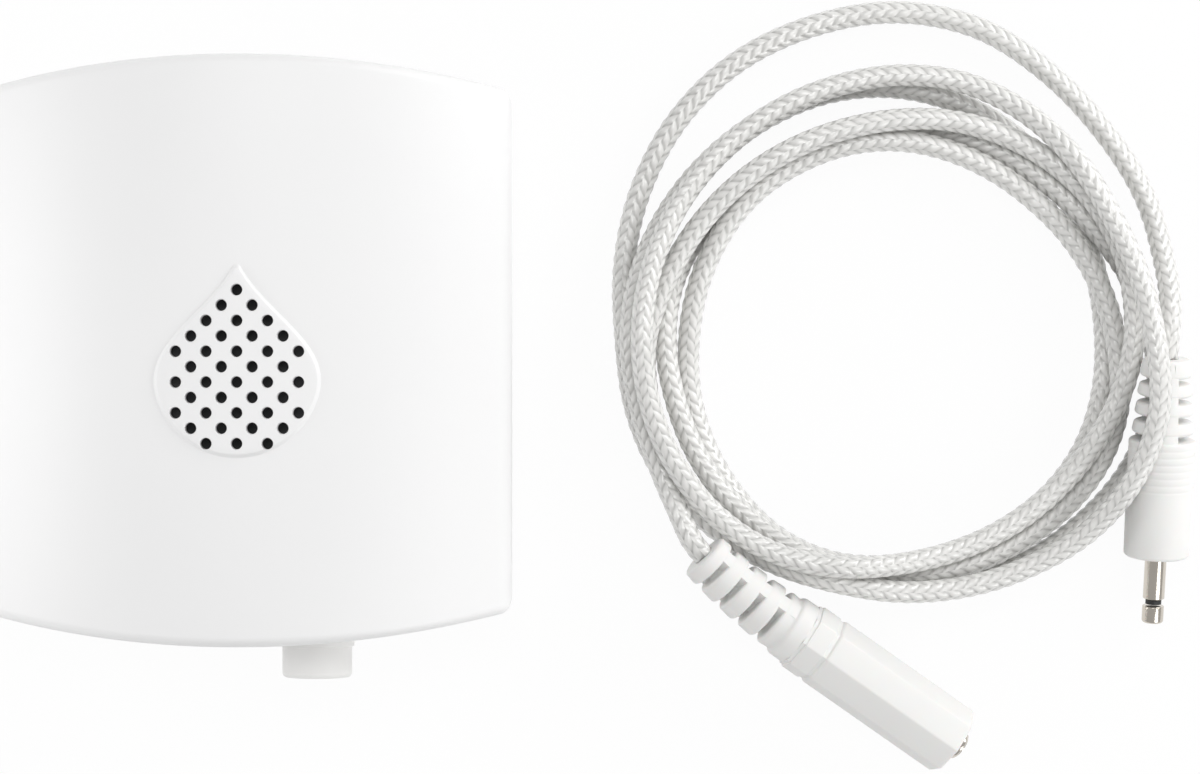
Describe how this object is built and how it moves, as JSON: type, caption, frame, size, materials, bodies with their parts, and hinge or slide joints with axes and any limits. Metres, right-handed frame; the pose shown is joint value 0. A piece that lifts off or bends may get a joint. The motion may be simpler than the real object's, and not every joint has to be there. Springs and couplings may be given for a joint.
{
  "type": "water leak alarm",
  "caption": "Battery-powered water leak alarm with a curved front and drop-shaped sounder grille, and a coiled plug-in braided sensing cable with an extension socket.",
  "frame": {"origin": "middle of the alarm unit's flat back, on the surface it lies on", "axes": "+Z out of the curved front, +Y towards the end away from the cable port, +X towards the cable"},
  "size_m": [0.1943, 0.1245, 0.0335],
  "materials": {
    "white_case": "fine satin moulding",
    "warm_collar": "satin moulding",
    "white_moulding": "soft moulded vinyl",
    "white_braid": "plaited sleeve",
    "black_plastic": "moulded",
    "dark_mesh": "fine mesh",
    "circuit_board": "solder mask",
    "steel": "plated",
    "nickel": "nickel plate",
    "tinned_can": "tinned",
    "cell_wrap": "shrink wrap"
  },
  "bodies": {
    "root": {"front_shell": "white_case", "rear_cover": "white_case", "battery_door": "white_case", "port_collar": "warm_collar", "plug_body": "white_moulding", "socket_body": "white_moulding", "cable_coil": "white_braid", "cable_over_plug": "white_braid", "cable_under_plug": "white_braid", "cable_to_plug": "white_braid", "cable_to_socket": "white_braid", "plug_insulator": "black_plastic", "siren": "black_plastic", "processor": "black_plastic", "jack_socket": "black_plastic", "siren_mesh": "dark_mesh", "circuit_board": "circuit_board", "case_screw_1": "steel", "case_screw_2": "steel", "case_screw_3": "steel", "case_screw_4": "steel", "board_screw_1": "steel", "board_screw_2": "steel", "board_screw_3": "steel", "board_screw_4": "steel", "contact_plus_1": "steel", "contact_plus_2": "steel", "contact_minus_1": "steel", "contact_minus_2": "steel", "contact_spring_1": "steel", "contact_spring_2": "steel", "plug_sleeve": "nickel", "plug_tip": "nickel", "socket_bush": "nickel", "socket_contact": "nickel", "radio_module": "tinned_can", "capacitor": "tinned_can", "battery_cell_1": "cell_wrap", "battery_cell_2": "cell_wrap"}
  },
  "joints": []
}
